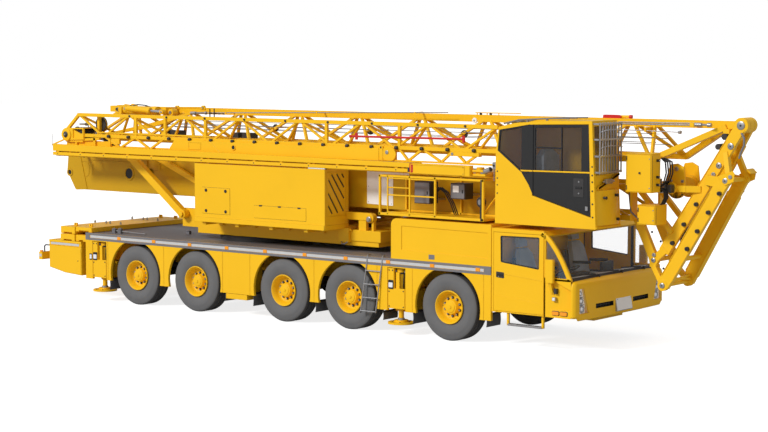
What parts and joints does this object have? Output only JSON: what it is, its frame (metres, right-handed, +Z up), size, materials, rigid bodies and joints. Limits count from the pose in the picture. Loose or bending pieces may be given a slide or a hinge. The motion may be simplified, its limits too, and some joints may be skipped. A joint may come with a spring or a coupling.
{
  "type": "mobile tower crane",
  "caption": "Road-going tower crane folded over its carrier: steered wheels, outriggers, slewing platform, telescoping mast and folding lattice jib.",
  "frame": {"origin": "on the ground below the middle of the crane's length and width", "axes": "+X driving direction, +Y the crane's left, +Z up"},
  "size_m": [16, 3.196, 4.055],
  "materials": {
    "yellow_paint": "gloss",
    "frame_grey": "satin",
    "deck_grey": "satin",
    "glass": "gloss",
    "dark_plastic": "matte",
    "tyre": "matte"
  },
  "bodies": {
    "carrier": {"axle_beams": "frame_grey", "chassis_frame": "yellow_paint", "deck": "deck_grey", "side_skirts": "yellow_paint", "toolboxes": "yellow_paint", "rear_body": "yellow_paint", "ballast_plates": "yellow_paint", "cab_shell": "yellow_paint", "cab_windscreen": "glass", "cab_interior": "dark_plastic", "engine_hood": "yellow_paint", "engine_block": "frame_grey", "slewing_ring": "frame_grey", "carrier_trim": "yellow_paint"},
    "knuckle_1_left": {"knuckle_1_left": "frame_grey"},
    "wheel_1_left": {"wheel_1_left": "tyre"},
    "knuckle_1_right": {"knuckle_1_right": "frame_grey"},
    "wheel_1_right": {"wheel_1_right": "tyre"},
    "knuckle_2_left": {"knuckle_2_left": "frame_grey"},
    "wheel_2_left": {"wheel_2_left": "tyre"},
    "knuckle_2_right": {"knuckle_2_right": "frame_grey"},
    "wheel_2_right": {"wheel_2_right": "tyre"},
    "knuckle_3_left": {"knuckle_3_left": "frame_grey"},
    "wheel_3_left": {"wheel_3_left": "tyre"},
    "knuckle_3_right": {"knuckle_3_right": "frame_grey"},
    "wheel_3_right": {"wheel_3_right": "tyre"},
    "knuckle_4_left": {"knuckle_4_left": "frame_grey"},
    "wheel_4_left": {"wheel_4_left": "tyre"},
    "knuckle_4_right": {"knuckle_4_right": "frame_grey"},
    "wheel_4_right": {"wheel_4_right": "tyre"},
    "knuckle_5_left": {"knuckle_5_left": "frame_grey"},
    "wheel_5_left": {"wheel_5_left": "tyre"},
    "knuckle_5_right": {"knuckle_5_right": "frame_grey"},
    "wheel_5_right": {"wheel_5_right": "tyre"},
    "door_left": {"door_left": "yellow_paint"},
    "door_right": {"door_right": "yellow_paint"},
    "outrigger_rear_left": {"outrigger_rear_left": "yellow_paint"},
    "jack_rear_left": {"jack_rear_left": "yellow_paint"},
    "outrigger_rear_right": {"outrigger_rear_right": "yellow_paint"},
    "jack_rear_right": {"jack_rear_right": "yellow_paint"},
    "outrigger_front_left": {"outrigger_front_left": "yellow_paint"},
    "jack_front_left": {"jack_front_left": "yellow_paint"},
    "outrigger_front_right": {"outrigger_front_right": "yellow_paint"},
    "jack_front_right": {"jack_front_right": "yellow_paint"},
    "platform": {"slew_platform": "yellow_paint", "power_housings": "yellow_paint"},
    "struts": {"erecting_struts": "yellow_paint"},
    "guide_links": {"guide_links": "yellow_paint"},
    "mast_outer": {"mast_outer": "yellow_paint", "cabin_rail": "yellow_paint", "walkway_cage": "yellow_paint"},
    "mast_inner": {"mast_inner": "yellow_paint", "mast_head": "yellow_paint", "hoist_winch": "yellow_paint", "operator_cabin": "yellow_paint", "operator_glass": "glass"},
    "operator_door": {"operator_door": "glass"},
    "jib_inner": {"jib_inner": "yellow_paint"},
    "jib_outer": {"jib_outer": "yellow_paint"}
  },
  "joints": [
    {"name": "steer_1_left", "type": "hinge", "parent": "carrier", "child": "knuckle_1_left", "pos_m": [2.83, 1, 0.607], "axis": [0, 0, 1], "range_deg": [-32, 32]},
    {"name": "roll_1_left", "type": "hinge", "parent": "knuckle_1_left", "child": "wheel_1_left", "pos_m": [2.83, 1.264, 0.607], "axis": [0, 1, 0], "continuous": true},
    {"name": "steer_1_right", "type": "hinge", "parent": "carrier", "child": "knuckle_1_right", "pos_m": [2.83, -1, 0.607], "axis": [0, 0, 1], "range_deg": [-32, 32]},
    {"name": "roll_1_right", "type": "hinge", "parent": "knuckle_1_right", "child": "wheel_1_right", "pos_m": [2.83, -1.264, 0.607], "axis": [0, 1, 0], "continuous": true},
    {"name": "steer_2_left", "type": "hinge", "parent": "carrier", "child": "knuckle_2_left", "pos_m": [0.54, 1, 0.607], "axis": [0, 0, 1], "range_deg": [-26, 26]},
    {"name": "roll_2_left", "type": "hinge", "parent": "knuckle_2_left", "child": "wheel_2_left", "pos_m": [0.54, 1.264, 0.607], "axis": [0, 1, 0], "continuous": true},
    {"name": "steer_2_right", "type": "hinge", "parent": "carrier", "child": "knuckle_2_right", "pos_m": [0.54, -1, 0.607], "axis": [0, 0, 1], "range_deg": [-26, 26]},
    {"name": "roll_2_right", "type": "hinge", "parent": "knuckle_2_right", "child": "wheel_2_right", "pos_m": [0.54, -1.264, 0.607], "axis": [0, 1, 0], "continuous": true},
    {"name": "steer_3_left", "type": "hinge", "parent": "carrier", "child": "knuckle_3_left", "pos_m": [-1.08, 1, 0.607], "axis": [0, 0, 1], "range_deg": [-12, 12]},
    {"name": "roll_3_left", "type": "hinge", "parent": "knuckle_3_left", "child": "wheel_3_left", "pos_m": [-1.08, 1.264, 0.607], "axis": [0, 1, 0], "continuous": true},
    {"name": "steer_3_right", "type": "hinge", "parent": "carrier", "child": "knuckle_3_right", "pos_m": [-1.08, -1, 0.607], "axis": [0, 0, 1], "range_deg": [-12, 12]},
    {"name": "roll_3_right", "type": "hinge", "parent": "knuckle_3_right", "child": "wheel_3_right", "pos_m": [-1.08, -1.264, 0.607], "axis": [0, 1, 0], "continuous": true},
    {"name": "steer_4_left", "type": "hinge", "parent": "carrier", "child": "knuckle_4_left", "pos_m": [-3.375, 1, 0.607], "axis": [0, 0, 1], "range_deg": [-18, 18]},
    {"name": "roll_4_left", "type": "hinge", "parent": "knuckle_4_left", "child": "wheel_4_left", "pos_m": [-3.375, 1.264, 0.607], "axis": [0, 1, 0], "continuous": true},
    {"name": "steer_4_right", "type": "hinge", "parent": "carrier", "child": "knuckle_4_right", "pos_m": [-3.375, -1, 0.607], "axis": [0, 0, 1], "range_deg": [-18, 18]},
    {"name": "roll_4_right", "type": "hinge", "parent": "knuckle_4_right", "child": "wheel_4_right", "pos_m": [-3.375, -1.264, 0.607], "axis": [0, 1, 0], "continuous": true},
    {"name": "steer_5_left", "type": "hinge", "parent": "carrier", "child": "knuckle_5_left", "pos_m": [-5.03, 1, 0.607], "axis": [0, 0, 1], "range_deg": [-30, 30]},
    {"name": "roll_5_left", "type": "hinge", "parent": "knuckle_5_left", "child": "wheel_5_left", "pos_m": [-5.03, 1.264, 0.607], "axis": [0, 1, 0], "continuous": true},
    {"name": "steer_5_right", "type": "hinge", "parent": "carrier", "child": "knuckle_5_right", "pos_m": [-5.03, -1, 0.607], "axis": [0, 0, 1], "range_deg": [-30, 30]},
    {"name": "roll_5_right", "type": "hinge", "parent": "knuckle_5_right", "child": "wheel_5_right", "pos_m": [-5.03, -1.264, 0.607], "axis": [0, 1, 0], "continuous": true},
    {"name": "door_left_hinge", "type": "hinge", "parent": "carrier", "child": "door_left", "pos_m": [4.868, 1.503, 1.3], "axis": [0, 0, -1], "range_deg": [0, 70]},
    {"name": "door_right_hinge", "type": "hinge", "parent": "carrier", "child": "door_right", "pos_m": [4.868, -1.503, 1.3], "axis": [0, 0, 1], "range_deg": [0, 70]},
    {"name": "outrigger_rear_left_slide", "type": "slide", "parent": "carrier", "child": "outrigger_rear_left", "axis": [0, 1, 0], "range_m": [0, 1.9]},
    {"name": "jack_rear_left_slide", "type": "slide", "parent": "outrigger_rear_left", "child": "jack_rear_left", "axis": [0, 0, -1], "range_m": [0, 0.5]},
    {"name": "outrigger_rear_right_slide", "type": "slide", "parent": "carrier", "child": "outrigger_rear_right", "axis": [0, -1, 0], "range_m": [0, 1.9]},
    {"name": "jack_rear_right_slide", "type": "slide", "parent": "outrigger_rear_right", "child": "jack_rear_right", "axis": [0, 0, -1], "range_m": [0, 0.5]},
    {"name": "outrigger_front_left_slide", "type": "slide", "parent": "carrier", "child": "outrigger_front_left", "axis": [0, 1, 0], "range_m": [0, 1.9]},
    {"name": "jack_front_left_slide", "type": "slide", "parent": "outrigger_front_left", "child": "jack_front_left", "axis": [0, 0, -1], "range_m": [0, 0.5]},
    {"name": "outrigger_front_right_slide", "type": "slide", "parent": "carrier", "child": "outrigger_front_right", "axis": [0, -1, 0], "range_m": [0, 1.9]},
    {"name": "jack_front_right_slide", "type": "slide", "parent": "outrigger_front_right", "child": "jack_front_right", "axis": [0, 0, -1], "range_m": [0, 0.5]},
    {"name": "slewing", "type": "hinge", "parent": "carrier", "child": "platform", "pos_m": [-2.8, 0, 1.5], "axis": [0, 0, 1], "continuous": true},
    {"name": "operator_door_hinge", "type": "hinge", "parent": "mast_inner", "child": "operator_door", "pos_m": [4.622, -1.503, 3.3], "axis": [0, 0, -1], "range_deg": [0, 80]},
    {"name": "strut_swing", "type": "hinge", "parent": "platform", "child": "struts", "pos_m": [-4.15, 0, 1.88], "axis": [0, 1, 0], "range_deg": [0, 46.5]},
    {"name": "mast_erect", "type": "hinge", "parent": "struts", "child": "mast_outer", "pos_m": [-5.62, 0, 2.98], "axis": [0, -1, 0], "range_deg": [0, 136]},
    {"name": "guide_swing", "type": "hinge", "parent": "platform", "child": "guide_links", "pos_m": [-2.4, 0, 1.9], "axis": [0, 1, 0], "range_deg": [0, 27]},
    {"name": "mast_extend", "type": "slide", "parent": "mast_outer", "child": "mast_inner", "axis": [1, 0, 0], "range_m": [0, 6.5]},
    {"name": "jib_raise", "type": "hinge", "parent": "mast_inner", "child": "jib_inner", "pos_m": [7.87, 0, 3.925], "axis": [0, 1, 0], "range_deg": [0, 135]},
    {"name": "jib_fold", "type": "hinge", "parent": "jib_inner", "child": "jib_outer", "pos_m": [-7.3, -0.54, 3.4], "axis": [0, 0, -1], "range_deg": [0, 180]}
  ],
  "couplings": [
    {"joint": "steer_1_right", "follows": "steer_1_left", "ratio": 1},
    {"joint": "steer_2_right", "follows": "steer_2_left", "ratio": 1},
    {"joint": "steer_3_right", "follows": "steer_3_left", "ratio": 1},
    {"joint": "steer_4_right", "follows": "steer_4_left", "ratio": 1},
    {"joint": "steer_5_right", "follows": "steer_5_left", "ratio": 1},
    {"joint": "strut_swing", "follows": "mast_erect", "ratio": 0.33824},
    {"joint": "guide_swing", "follows": "mast_erect", "ratio": 0.19265}
  ]
}
